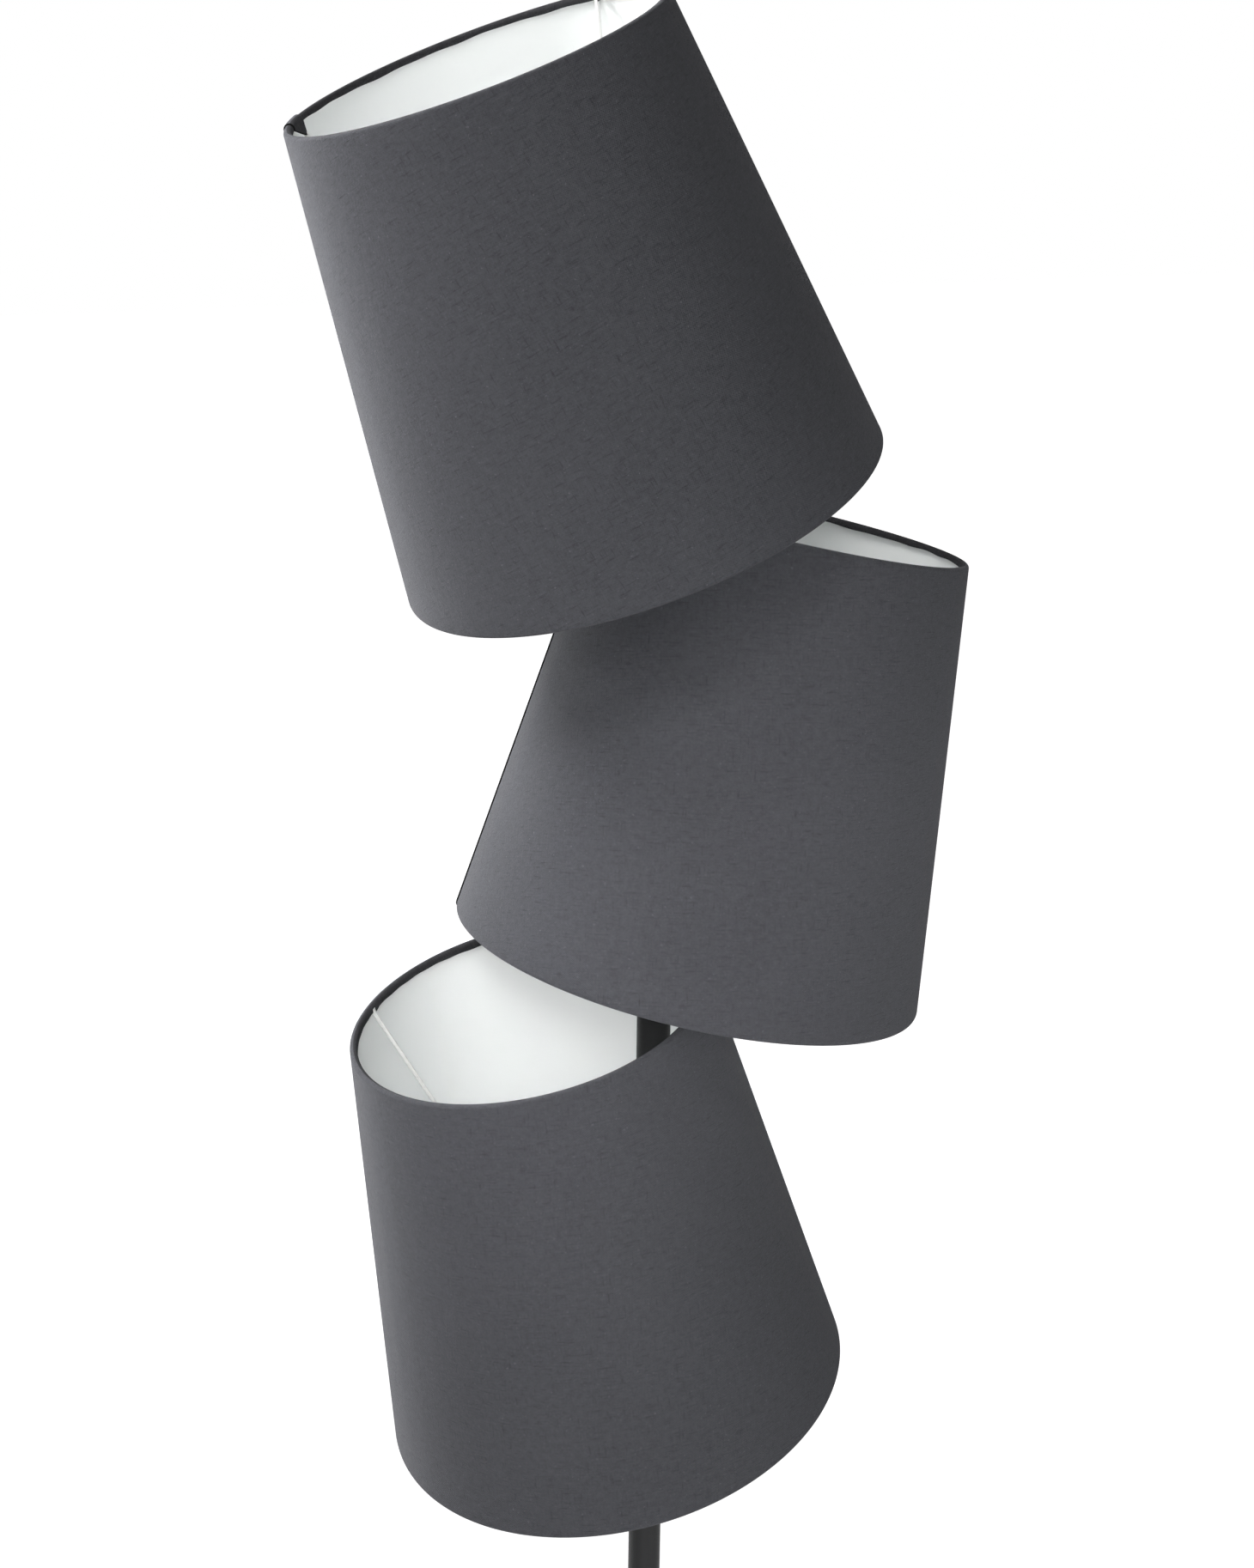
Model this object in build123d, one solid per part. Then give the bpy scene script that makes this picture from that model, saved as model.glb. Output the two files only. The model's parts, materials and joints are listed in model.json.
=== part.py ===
from build123d import *
import math
import os

# A floor lamp: three tapered fabric shades lean to and fro, one above the other, on one slim pole.
# Lengths are in millimetres and angles in degrees. The origin lies on the floor under the pole,
# +Z is up and the shades lean in the XZ plane.

# Shade: fabric and a white liner between two wire rings, carried by a hub on three struts
shade_bottom_d = 250.0
shade_top_d = 190.0
shade_height = 237.0
fabric_t = 0.35
liner_t = 0.3
rim_wire_d = 2.1
wire_clear = 0.25
hem_length = 0.8
strut_d = 2.0
strut_count = 3
notch_width = 6.0
notch_rise = 0.6
hub_d = 41.0
hub_t = 2.0
hub_clear = 0.4
turn_clear = 0.1

# Where each shade sits: the shoulder of its lampholder, its lean and the turn of its struts
seat_height = 51.0
arm_length = 30.0
bottom_seat_z = 888.0
middle_seat_gap = 8.0
top_seat_gap = 2.0
top_lean = 22.0
middle_lean = 13.0
bottom_lean = 13.0
top_turn = 26.0
middle_turn = 16.0
bottom_turn = 16.0

# Lampholder, measured along its own axis from the shoulder that the shade rests on
thread_d = 27.8
thread_length = 20.0
shoulder_d = 36.0
shoulder_t = 3.0
body_depth = 17.0
body_wall = 2.9
cap_height = 10.0
cap_wall = 4.0
cap_foot_d = 18.0
insert_top_gap = 3.0
insert_floor_t = 7.0
insert_bottom_gap = 2.0
sleeve_outer_d = 16.4
sleeve_wall = 0.8
sleeve_length = 21.0
sleeve_lift = 2.0
tongue_length = 6.0
tongue_width = 5.0
tongue_height = 3.0
ring_height = 6.0
ring_d = 35.2
ring_clear = 0.1

# Bulb with a small screw cap
bulb_cap_d = 13.9
bulb_cap_length = 19.0
eyelet_d = 4.8
eyelet_height = 2.0
bulb_d = 45.0
bulb_centre_above_cap = 32.0
bulb_neck_d = 15.2
bulb_wall = 1.0

# Bracket that carries a lampholder on the pole, its threaded tube and its lock nut
bracket_t = 3.0
bracket_width = 14.0
bracket_end_d = 20.0
nipple_d = 10.0
nipple_bore_d = 7.0
nipple_below_nut = 1.0
lock_nut_flats = 14.0
lock_nut_t = 3.0

# Pole: four tubes joined by threaded bushes and studs
pole_d = 18.0
pole_wall = 1.2
pole_joint_1 = 430.0
joint_above_seat = 95.0
pole_above_seat = 4.0
bush_length = 16.0
stud_bore_d = 6.8
stud_length = 28.0
lead_hole_d = 6.0
lead_hole_drop = 16.0
end_cap_t = 3.0
end_cap_round = 1.5
end_cap_spigot = 8.0
end_cap_wall = 1.5
end_cap_clear = 0.05

# Base: a pressed cover over a cast weight, on a soft pad
base_d = 280.0
base_cover_t = 1.5
base_edge_round = 4.0
base_clear = 0.3
weight_t = 10.0
pad_t = 2.0
pad_inset = 4.0
recess_d = 44.0
recess_depth = 7.0
base_nut_flats = 17.0
base_nut_t = 5.0
washer_d = 32.0
washer_t = 1.6
stud_hole_clear = 0.3
collar_d = 40.0
collar_top_d = 24.0
collar_height = 14.0

# Inlet bush for a lead, in the rear edge of the base
inlet_bore_d = 5.8
inlet_shank_d = 7.2
inlet_flange_d = 10.8
inlet_flange_t = 2.0
inlet_length = 14.0
channel_width = 8.0
channel_height = 8.0

MIN_Z = (Align.CENTER, Align.CENTER, Align.MIN)
MAX_Z = (Align.CENTER, Align.CENTER, Align.MAX)

# The seats stand a shade's height and a small gap apart
middle_seat_z = bottom_seat_z + shade_height + middle_seat_gap
top_seat_z = middle_seat_z + shade_height + top_seat_gap

# A shade's side is -1 where it leans to -X and +1 where it leans to +X
shades = {
    "top": (-1, top_lean, top_seat_z, top_turn),
    "middle": (1, middle_lean, middle_seat_z, middle_turn),
    "bottom": (-1, bottom_lean, bottom_seat_z, bottom_turn),
}


def holder_place(name):
    """Place of a lampholder: its Z runs up the shade's axis and its +X faces the pole."""
    side, lean, seat_z, turn = shades[name]
    facing = 0 if side < 0 else 180
    return Location((side * arm_length, 0, seat_z), (0, side * lean, 0)) * Rot(Z=facing)


def tube(outer_d, inner_d, low, high):
    """Round tube, or a washer, on the Z axis."""
    wall = Cylinder(outer_d / 2, high - low, align=MIN_Z) - Cylinder(inner_d / 2, high - low, align=MIN_Z)
    return Pos(Z=low) * wall


def hex_nut(flats, bore_d, low, thickness):
    """Hexagon nut on the Z axis with a flat towards +X."""
    outline = RegularPolygon(flats / 2, 6, major_radius=False, rotation=30) - Circle(bore_d / 2)
    return Pos(Z=low) * extrude(outline, thickness)


# Rim: the fabric rolls round the liner and the wire ring
wire_r = rim_wire_d / 2
roll_inner_r = wire_r + wire_clear + liner_t
roll_r = roll_inner_r + fabric_t
low_rim = Vector(shade_bottom_d / 2 - roll_r, roll_r - seat_height)
high_rim = Vector(shade_top_d / 2 - roll_r, shade_height - roll_r - seat_height)
wall_run = high_rim - low_rim
wall_length = wall_run.length
wall_angle = math.degrees(math.atan2(wall_run.Y, wall_run.X))
wall_middle = (low_rim + high_rim) * 0.5
wall_place = Plane.XZ.location * Pos(wall_middle.X, wall_middle.Y) * Rot(Z=wall_angle)
hub_low = turn_clear
hub_high = hub_low + hub_t
strut_foot = Vector((hub_d - strut_d) / 2, (hub_low + hub_high) / 2)


def strut_angles(turn):
    return [turn + 360 * i / strut_count for i in range(strut_count)]


def shade_cover(turn):
    """Fabric cone whose edges roll over both wire rings, with a notch for each strut."""
    fold = SlotCenterToCenter(wall_length, 2 * roll_r) - SlotCenterToCenter(wall_length, 2 * roll_inner_r)
    open_side = Pos(0, roll_r) * Rectangle(wall_length - 2 * hem_length, 2 * roll_r)
    cone = revolve(wall_place * (fold - open_side), Axis.Z)
    hem = Pos(wall_length / 2 + notch_rise, roll_inner_r - liner_t / 2) * Rectangle(
        2 * (hem_length + notch_rise), fabric_t + liner_t, align=(Align.MAX, Align.MIN))
    notch = extrude(wall_place * hem, notch_width / 2, both=True)
    for angle in strut_angles(turn):
        cone -= Rot(Z=angle) * notch
    return cone


def shade_liner():
    """White sheet between the fabric and the wire rings."""
    strip = Pos(0, -(wire_r + wire_clear + liner_t / 2)) * Rectangle(wall_length, liner_t)
    return revolve(wall_place * strip, Axis.Z)


def shade_carrier(turn):
    """Steep struts, welded to the upper ring, and the flat hub that drops over the lampholder."""
    carrier = tube(hub_d, thread_d + 2 * hub_clear, hub_low, hub_high)
    run = Vector(high_rim.X - strut_foot.X, 0, high_rim.Y - strut_foot.Y)
    start = Plane(origin=(strut_foot.X, 0, strut_foot.Y), z_dir=run)
    strut = start * Cylinder(strut_d / 2, run.length, align=MIN_Z)
    for angle in strut_angles(turn):
        carrier += Rot(Z=angle) * strut
    return carrier - wire_ring(high_rim)


def wire_ring(rim):
    """Wire ring inside a rolled rim."""
    return Pos(Z=rim.Y) * Torus(rim.X, wire_r)


# Lampholder levels along its axis
body_bore_d = thread_d - 2 * body_wall
cap_low = -body_depth - cap_height
insert_low = -body_depth + insert_bottom_gap
insert_floor = insert_low + insert_floor_t
sleeve_low = insert_floor + sleeve_lift
tongue_top = insert_floor + tongue_height
cap_thread_low = tongue_top + eyelet_height
bulb_cap_top = cap_thread_low + bulb_cap_length
bracket_high = cap_low
bracket_low = bracket_high - bracket_t
nut_low = bracket_low - lock_nut_t
nipple_low = nut_low - nipple_below_nut
nipple_high = cap_low + cap_wall


def holder_body():
    """Threaded sleeve of the lampholder with the shoulder that the shade's hub rests on."""
    body = tube(thread_d, body_bore_d, -body_depth, thread_length)
    return body + tube(shoulder_d, body_bore_d, -shoulder_t, 0)


def holder_cap():
    """Tapered cup that closes the lampholder below and screws on to the threaded tube."""
    cap = Pos(Z=cap_low) * Cone(cap_foot_d / 2, thread_d / 2, cap_height, align=MIN_Z)
    cap -= Pos(Z=cap_low + cap_wall) * Cylinder(cap_foot_d / 2, cap_height, align=MIN_Z)
    return cap - Pos(Z=cap_low) * Cylinder(nipple_d / 2, cap_height, align=MIN_Z)


def holder_insert():
    """Insulating cup that holds the contacts inside the lampholder."""
    top = thread_length - insert_top_gap
    cup = Pos(Z=insert_low) * Cylinder(body_bore_d / 2, top - insert_low, align=MIN_Z)
    return cup - Pos(Z=insert_floor) * Cylinder(sleeve_outer_d / 2, top - insert_floor, align=MIN_Z)


def holder_contacts():
    """Brass screw sleeve and the tongue that meets the bulb's centre contact."""
    sleeve = tube(sleeve_outer_d, sleeve_outer_d - 2 * sleeve_wall, sleeve_low, sleeve_low + sleeve_length)
    tongue = Pos(Z=insert_floor) * Box(tongue_length, tongue_width, tongue_height, align=MIN_Z)
    return [sleeve, tongue]


def shade_ring():
    """Threaded ring that clamps the shade's hub on the shoulder."""
    low = hub_high + turn_clear
    return tube(ring_d, thread_d + 2 * ring_clear, low, low + ring_height)


def bulb_cap():
    """Screw cap of the bulb with its centre contact."""
    screw = Pos(Z=cap_thread_low) * Cylinder(bulb_cap_d / 2, bulb_cap_length, align=MIN_Z)
    return screw + Pos(Z=tongue_top) * Cylinder(eyelet_d / 2, eyelet_height, align=MIN_Z)


def bulb_form(radius, neck_r):
    """Ball on a flared neck that stands on the bulb's cap."""
    centre = bulb_centre_above_cap
    flare = Cone(neck_r, radius * math.sqrt(0.5), centre - radius * math.sqrt(0.5), align=MIN_Z)
    return flare + Pos(Z=centre) * Sphere(radius)


def bulb_globe():
    """Thin bulb, open where it meets its cap."""
    glass = bulb_form(bulb_d / 2, bulb_neck_d / 2) - bulb_form(bulb_d / 2 - bulb_wall, bulb_neck_d / 2 - bulb_wall)
    return Pos(Z=bulb_cap_top) * glass


def bracket(name):
    """Steel lug brazed to the pole, square to the lampholder's axis, with a hole for its threaded tube."""
    side, lean, seat_z, turn = shades[name]
    middle = (bracket_low + bracket_high) / 2
    reach = (arm_length + middle * math.sin(math.radians(lean))) / math.cos(math.radians(lean))
    outline = Circle(bracket_end_d / 2) + Pos(reach / 2) * Rectangle(reach, bracket_width)
    lug = Pos(Z=bracket_low) * extrude(outline - Circle(nipple_d / 2), bracket_t)
    pole = Pos(Z=seat_z) * Cylinder(pole_d / 2, 4 * arm_length)
    return lug.moved(holder_place(name)) - pole


def holder_nipple():
    return tube(nipple_d, nipple_bore_d, nipple_low, nipple_high)


# Levels of the base and the pole
weight_low = pad_t
weight_high = weight_low + weight_t
cover_top = weight_high + base_cover_t
washer_high = weight_low + recess_depth
washer_low = washer_high - washer_t
base_nut_low = washer_low - base_nut_t
pole_bore_d = pole_d - 2 * pole_wall
stud_hole_d = nipple_d + 2 * stud_hole_clear
inlet_z = weight_low + channel_height / 2
pole_top_z = top_seat_z + pole_above_seat
pole_joints = [pole_joint_1, bottom_seat_z + joint_above_seat, middle_seat_z + joint_above_seat]
pole_levels = [cover_top] + pole_joints + [pole_top_z]


def lead_hole(name):
    """Cutter for the hole through which a lead leaves the pole below a bracket."""
    side, lean, seat_z, turn = shades[name]
    height = seat_z + bracket_low * math.cos(math.radians(lean)) - lead_hole_drop
    return Pos(0, 0, height) * Rot(Y=side * 90) * Cylinder(lead_hole_d / 2, pole_d, align=MIN_Z)


def pole_section(index, bored_for=None):
    """One tube of the pole, with a lead hole where it carries a bracket."""
    section = tube(pole_d, pole_bore_d, pole_levels[index], pole_levels[index + 1])
    return section - lead_hole(bored_for) if bored_for else section


def pole_bushes():
    """Threaded bushes in the tube ends: one at the foot and a pair at each joint."""
    lows = [cover_top]
    for joint in pole_joints:
        lows += [joint - bush_length, joint]
    return [tube(pole_bore_d, nipple_d, low, low + bush_length) for low in lows]


def pole_studs():
    """Hollow studs that draw the tubes together at the joints."""
    return [tube(nipple_d, stud_bore_d, joint - stud_length / 2, joint + stud_length / 2) for joint in pole_joints]


def pole_cap():
    """Plug that closes the upper end of the pole."""
    button = Pos(Z=pole_top_z) * Cylinder(pole_d / 2, end_cap_t, align=MIN_Z)
    button = fillet(button.edges().sort_by(Axis.Z)[-1], min(end_cap_round, 0.8 * end_cap_t))
    spigot_d = pole_bore_d - 2 * end_cap_clear
    return button + tube(spigot_d, spigot_d - 2 * end_cap_wall, pole_top_z - end_cap_spigot, pole_top_z)


def pole_collar():
    """Tapered collar round the foot of the pole."""
    cone = Pos(Z=cover_top) * Cone(collar_d / 2, collar_top_d / 2, collar_height, align=MIN_Z)
    return cone - Pos(Z=cover_top) * Cylinder(pole_d / 2, collar_height, align=MIN_Z)


def inlet_cutter(diameter):
    """Cylinder along the inlet's axis, from the middle of the base out through its rear edge."""
    return Pos(0, 0, inlet_z) * Rot(X=-90) * Cylinder(diameter / 2, base_d, align=MIN_Z)


def base_cover():
    """Pressed steel cover with a rounded edge."""
    height = cover_top - weight_low
    shell = Pos(Z=weight_low) * Cylinder(base_d / 2, height, align=MIN_Z)
    shell = fillet(shell.edges().sort_by(Axis.Z)[-1], min(base_edge_round, 0.8 * height))
    hollow = Pos(Z=weight_low) * Cylinder(base_d / 2 - base_cover_t, weight_t, align=MIN_Z)
    inner_round = max(base_edge_round - base_cover_t, 0.2)
    hollow = fillet(hollow.edges().sort_by(Axis.Z)[-1], min(inner_round, 0.8 * weight_t))
    return shell - hollow - Cylinder(stud_hole_d / 2, 2 * cover_top) - inlet_cutter(inlet_shank_d)


def base_weight():
    """Cast weight with a recess for the nut and a channel for a lead in its underside."""
    radius = base_d / 2 - base_cover_t - base_clear
    disc = Pos(Z=weight_low) * Cylinder(radius, weight_t, align=MIN_Z)
    edge_round = max(base_edge_round - base_cover_t, 0.2)
    disc = fillet(disc.edges().sort_by(Axis.Z)[-1], min(edge_round, 0.8 * weight_t))
    disc -= Cylinder(stud_hole_d / 2, 2 * weight_high)
    disc -= Pos(Z=weight_low) * Cylinder(recess_d / 2, recess_depth, align=MIN_Z)
    channel = Box(channel_width, base_d, channel_height, align=(Align.CENTER, Align.MIN, Align.MIN))
    return disc - Pos(Z=weight_low) * channel


def base_pad():
    """Soft disc glued under the base, which the lamp stands on."""
    return Cylinder(base_d / 2 - base_cover_t - pad_inset, pad_t, align=MIN_Z)


def inlet_bush():
    """Bush in the rear edge of the base, with a flange against the cover."""
    start = base_d / 2 + inlet_flange_t - inlet_length
    shank = Cylinder(inlet_shank_d / 2, inlet_length, align=MIN_Z)
    flange = Pos(Z=inlet_length) * Cylinder(inlet_flange_d / 2, inlet_flange_t, align=MAX_Z)
    bush = shank + flange - Cylinder(inlet_bore_d / 2, inlet_length, align=MIN_Z)
    return Pos(0, start, inlet_z) * Rot(X=-90) * bush


nodes = {
    "base_pad": base_pad(),
    "base_weight": base_weight(),
    "base_cover": base_cover(),
    "base_washer": tube(washer_d, stud_hole_d, washer_low, washer_high),
    "base_nut": hex_nut(base_nut_flats, nipple_d, base_nut_low, base_nut_t),
    "base_stud": tube(nipple_d, stud_bore_d, base_nut_low, cover_top + stud_length / 2),
    "inlet_bush": inlet_bush(),
    "pole_collar": pole_collar(),
    "pole_lower": pole_section(0),
    "pole_middle": pole_section(1, "bottom"),
    "pole_upper": pole_section(2, "middle"),
    "pole_end": pole_section(3, "top"),
    "pole_bushes": pole_bushes(),
    "pole_studs": pole_studs(),
    "pole_cap": pole_cap(),
    "holder_nipples": [holder_nipple().moved(holder_place(name)) for name in shades],
    "holder_nuts": [
        hex_nut(lock_nut_flats, nipple_d, nut_low, lock_nut_t).moved(holder_place(name)) for name in shades],
}
for name in shades:
    place = holder_place(name)
    turn = shades[name][-1]
    nodes[f"{name}_bracket"] = bracket(name)
    nodes[f"{name}_holder_cap"] = holder_cap().moved(place)
    nodes[f"{name}_holder_body"] = holder_body().moved(place)
    nodes[f"{name}_holder_insert"] = holder_insert().moved(place)
    nodes[f"{name}_holder_contacts"] = [piece.moved(place) for piece in holder_contacts()]
    nodes[f"{name}_shade_ring"] = shade_ring().moved(place)
    nodes[f"{name}_bulb_cap"] = bulb_cap().moved(place)
    nodes[f"{name}_bulb_globe"] = bulb_globe().moved(place)
    nodes[f"{name}_carrier"] = shade_carrier(turn).moved(place)
    nodes[f"{name}_upper_ring"] = wire_ring(high_rim).moved(place)
    nodes[f"{name}_lower_ring"] = wire_ring(low_rim).moved(place)
    nodes[f"{name}_liner"] = shade_liner().moved(place)
    nodes[f"{name}_cover"] = shade_cover(turn).moved(place)

os.makedirs("parts", exist_ok=True)
for node, shape in nodes.items():
    solids = shape if isinstance(shape, list) else [shape]
    export_step(Compound([solid for piece in solids for solid in piece.solids()]), f"parts/{node}.step")
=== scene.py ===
import json
import math
import random

import bmesh
import bpy
from mathutils import Matrix, Vector


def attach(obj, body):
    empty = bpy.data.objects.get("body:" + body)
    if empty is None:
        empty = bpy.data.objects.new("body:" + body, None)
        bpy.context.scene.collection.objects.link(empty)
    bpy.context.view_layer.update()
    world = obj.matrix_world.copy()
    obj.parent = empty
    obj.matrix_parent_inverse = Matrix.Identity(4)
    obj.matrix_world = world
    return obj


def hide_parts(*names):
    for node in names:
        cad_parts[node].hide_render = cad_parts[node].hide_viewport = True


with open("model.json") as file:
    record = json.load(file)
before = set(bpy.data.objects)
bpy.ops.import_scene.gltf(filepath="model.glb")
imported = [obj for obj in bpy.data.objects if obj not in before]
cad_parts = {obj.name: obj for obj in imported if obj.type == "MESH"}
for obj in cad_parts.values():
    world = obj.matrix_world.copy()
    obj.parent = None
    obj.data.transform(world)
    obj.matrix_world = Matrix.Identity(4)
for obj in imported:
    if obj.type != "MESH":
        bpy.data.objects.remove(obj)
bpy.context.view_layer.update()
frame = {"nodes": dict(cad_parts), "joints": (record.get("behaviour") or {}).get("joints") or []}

# Foam pad: the soft disc glued under the base, which the lamp stands on.
# It is die-cut from black cell foam, so the face is pitted and the edge is a little crushed.
mm = 0.001
pad_d = 269 * mm
pad_t = 2 * mm
pad_edge = 0.5 * mm
weld_gap = 0.001 * mm
crease = math.radians(32)


def turned(outline, steps, closed=False):
    """Turned shape: an outline of (radius, height) points carried once round the Z axis."""
    bm = bmesh.new()
    points = [bm.verts.new((radius, 0, height)) for radius, height in outline]
    pairs = list(zip(points, points[1:] + points[:1] if closed else points[1:]))
    edges = [bm.edges.new(pair) for pair in pairs]
    bmesh.ops.spin(bm, geom=points + edges, cent=(0, 0, 0), axis=(0, 0, 1), angle=math.tau,
                   steps=steps, use_merge=True)
    bmesh.ops.remove_doubles(bm, verts=bm.verts, dist=weld_gap)
    bmesh.ops.recalc_face_normals(bm, faces=bm.faces)
    return bm


def rounded(bm, width, segments=2, sharp=30):
    """Rounds every edge at which the surface turns sharply."""
    edges = [e for e in bm.edges if e.is_manifold and e.calc_face_angle() > math.radians(sharp)]
    bmesh.ops.bevel(bm, geom=edges, offset=width, segments=segments, profile=0.5, affect="EDGES",
                    clamp_overlap=True, material=-1)
    return bm


def finish(name, dark, light, tone, gloss, grain, depth, shader=None):
    """Surface with a slow drift of tone, an uneven gloss and a fine grain raised by its depth."""
    material = bpy.data.materials.new(name)
    material.use_nodes = True
    nodes, links = material.node_tree.nodes, material.node_tree.links
    skin = nodes["Principled BSDF"]
    for socket, value in (shader or {}).items():
        skin.inputs[socket].default_value = value
    where = nodes.new("ShaderNodeTexCoord")
    drift, speck = nodes.new("ShaderNodeTexNoise"), nodes.new("ShaderNodeTexNoise")
    for texture, scale in ((drift, tone), (speck, grain)):
        texture.inputs["Scale"].default_value = scale
        texture.inputs["Detail"].default_value = 3
        links.new(where.outputs["Object"], texture.inputs["Vector"])
    colour = nodes.new("ShaderNodeMix")
    colour.data_type = "RGBA"
    colour.inputs["A"].default_value = (*dark, 1)
    colour.inputs["B"].default_value = (*light, 1)
    links.new(drift.outputs["Fac"], colour.inputs["Factor"])
    links.new(colour.outputs["Result"], skin.inputs["Base Color"])
    shine = nodes.new("ShaderNodeMapRange")
    shine.inputs["From Min"].default_value, shine.inputs["From Max"].default_value = 0.3, 0.7
    shine.inputs["To Min"].default_value, shine.inputs["To Max"].default_value = gloss
    links.new(speck.outputs["Fac"], shine.inputs["Value"])
    links.new(shine.outputs["Result"], skin.inputs["Roughness"])
    relief = nodes.new("ShaderNodeBump")
    relief.inputs["Distance"].default_value = depth
    links.new(speck.outputs["Fac"], relief.inputs["Height"])
    links.new(relief.outputs["Normal"], skin.inputs["Normal"])
    return material


def fitted(name, bm, material, slot, body, *nodes, place=None):
    """Piece made from a finished shape: set in its place, riding on its body, standing for its nodes."""
    if place is not None:
        bmesh.ops.transform(bm, matrix=place, verts=bm.verts)
    mesh = bpy.data.meshes.new(name)
    bm.to_mesh(mesh)
    bm.free()
    mesh.shade_smooth()
    mesh.set_sharp_from_angle(angle=crease)
    mesh.materials.append(material)
    piece = bpy.data.objects.new(name, mesh)
    bpy.context.scene.collection.objects.link(piece)
    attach(piece, body)
    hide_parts(*nodes)
    return piece


foam = finish("foam", (0.022, 0.022, 0.023), (0.04, 0.04, 0.042), 60, (0.85, 0.98), 1400, 0.4 * mm)
pad = turned([(0, 0), (pad_d / 2, 0), (pad_d / 2, pad_t), (0, pad_t)], 160)
fitted("foam_pad", rounded(pad, pad_edge), foam, "pad", "stand", "base_pad")

# Cast weight: the iron disc that keeps the lamp upright, hidden under the pressed cover.
# Sand-cast with a rough skin, and left as the frame has it.
iron = finish("cast_iron", (0.06, 0.06, 0.062), (0.13, 0.125, 0.12), 40, (0.6, 0.85), 420, 0.6 * mm,
              {"Metallic": 0.4})


def dressed(node, material):
    """Gives a node that keeps its own shape a better finish."""
    mesh = frame["nodes"][node].data
    mesh.materials.clear()
    mesh.materials.append(material)


dressed("base_weight", iron)

# Foot fixings and pole joints: washer, nut and hollow stud that draw the base up against the pole,
# and the threaded bushes and studs that join its tubes. Turned steel with a dull zinc coat, out of sight.
zinc = finish("zinc_plate", (0.5, 0.5, 0.49), (0.66, 0.66, 0.63), 220, (0.26, 0.44), 900, 0.04 * mm,
              {"Metallic": 1.0})
for node in ("base_washer", "base_nut", "base_stud", "pole_bushes", "pole_studs"):
    dressed(node, zinc)

# Base cover: a disc of sheet steel pressed to a shallow pan, its rim rounded over.
# Powder coated satin black, which leaves a fine orange-peel grain.
base_d = 280 * mm
cover_low = pad_t
cover_top = 13.5 * mm
cover_t = 1.5 * mm
cover_round = 4 * mm
stud_hole_d = 10.6 * mm
inlet_z = 6 * mm
inlet_shank_d = 7.2 * mm
sliver = 0.002 * mm
powder_black = finish("satin_black", (0.012, 0.0122, 0.0128), (0.017, 0.0172, 0.018), 30, (0.42, 0.54),
                      1100, 0.05 * mm, {"Specular IOR Level": 0.16})


def arc(centre, radius, start, end, steps):
    """Points on an arc of an outline, with its angles in degrees."""
    angles = [math.radians(start + (end - start) * i / steps) for i in range(steps + 1)]
    return [(centre[0] + radius * math.cos(a), centre[1] + radius * math.sin(a)) for a in angles]


def cut(bm, cutter, operation="DIFFERENCE"):
    """Shape left when a cutter is taken from it, or shared with it."""
    objects = []
    for shape in (bm, cutter):
        mesh = bpy.data.meshes.new("blank")
        shape.to_mesh(mesh)
        shape.free()
        objects.append(bpy.data.objects.new("blank", mesh))
        bpy.context.scene.collection.objects.link(objects[-1])
    saw = objects[0].modifiers.new("saw", "BOOLEAN")
    saw.operation, saw.object = operation, objects[1]
    graph = bpy.context.evaluated_depsgraph_get()
    result = bmesh.new()
    result.from_object(objects[0], graph)
    for blank in objects:
        mesh = blank.data
        bpy.data.objects.remove(blank)
        bpy.data.meshes.remove(mesh)
    bmesh.ops.remove_doubles(result, verts=result.verts, dist=sliver)
    bmesh.ops.dissolve_degenerate(result, dist=sliver, edges=result.edges)
    return result


def rod(radius, length, place, sides=48):
    """Plain round cutter that starts at its place and runs along its Z axis."""
    bm = bmesh.new()
    middle = place @ Matrix.Translation((0, 0, length / 2))
    bmesh.ops.create_cone(bm, cap_ends=True, segments=sides, radius1=radius, radius2=radius,
                          depth=length, matrix=middle)
    return bm


rim = base_d / 2 - cover_round
round_z = cover_top - cover_round
pan = [(base_d / 2, cover_low)] + arc((rim, round_z), cover_round, 0, 90, 8)
pan += [(stud_hole_d / 2, cover_top), (stud_hole_d / 2, cover_top - cover_t)]
pan += arc((rim, round_z), cover_round - cover_t, 90, 0, 6) + [(base_d / 2 - cover_t, cover_low)]
rearward = Matrix.Rotation(math.radians(-90), 4, "X")
inlet_way = Matrix.Translation((0, base_d / 4, inlet_z)) @ rearward
pressed = cut(turned(pan, 192, closed=True), rod(inlet_shank_d / 2, base_d / 2, inlet_way))
fitted("pressed_cover", pressed, powder_black, "black_paint", "stand", "base_cover")

# Inlet bush: the moulded bush in the rear edge of the base through which a mains lead enters.
# Black nylon, pushed in from outside until its flange meets the cover.
inlet_bore_d = 5.8 * mm
inlet_flange_d = 10.8 * mm
inlet_flange_t = 2 * mm
inlet_length = 14 * mm
inlet_round = 0.3 * mm
nylon_black = finish("black_nylon", (0.014, 0.014, 0.014), (0.022, 0.022, 0.022), 90, (0.42, 0.58),
                     1600, 0.05 * mm)
flange_low = inlet_length - inlet_flange_t
bush = [(inlet_bore_d / 2, 0), (inlet_shank_d / 2, 0), (inlet_shank_d / 2, flange_low)]
bush += [(inlet_flange_d / 2, flange_low), (inlet_flange_d / 2, inlet_length)]
bush += [(inlet_bore_d / 2, inlet_length)]
seat = Matrix.Translation((0, base_d / 2 - flange_low, inlet_z)) @ rearward
fitted("inlet_grommet", rounded(turned(bush, 48, closed=True), inlet_round), nylon_black, "black_plastic",
       "stand", "inlet_bush", place=seat)

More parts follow.
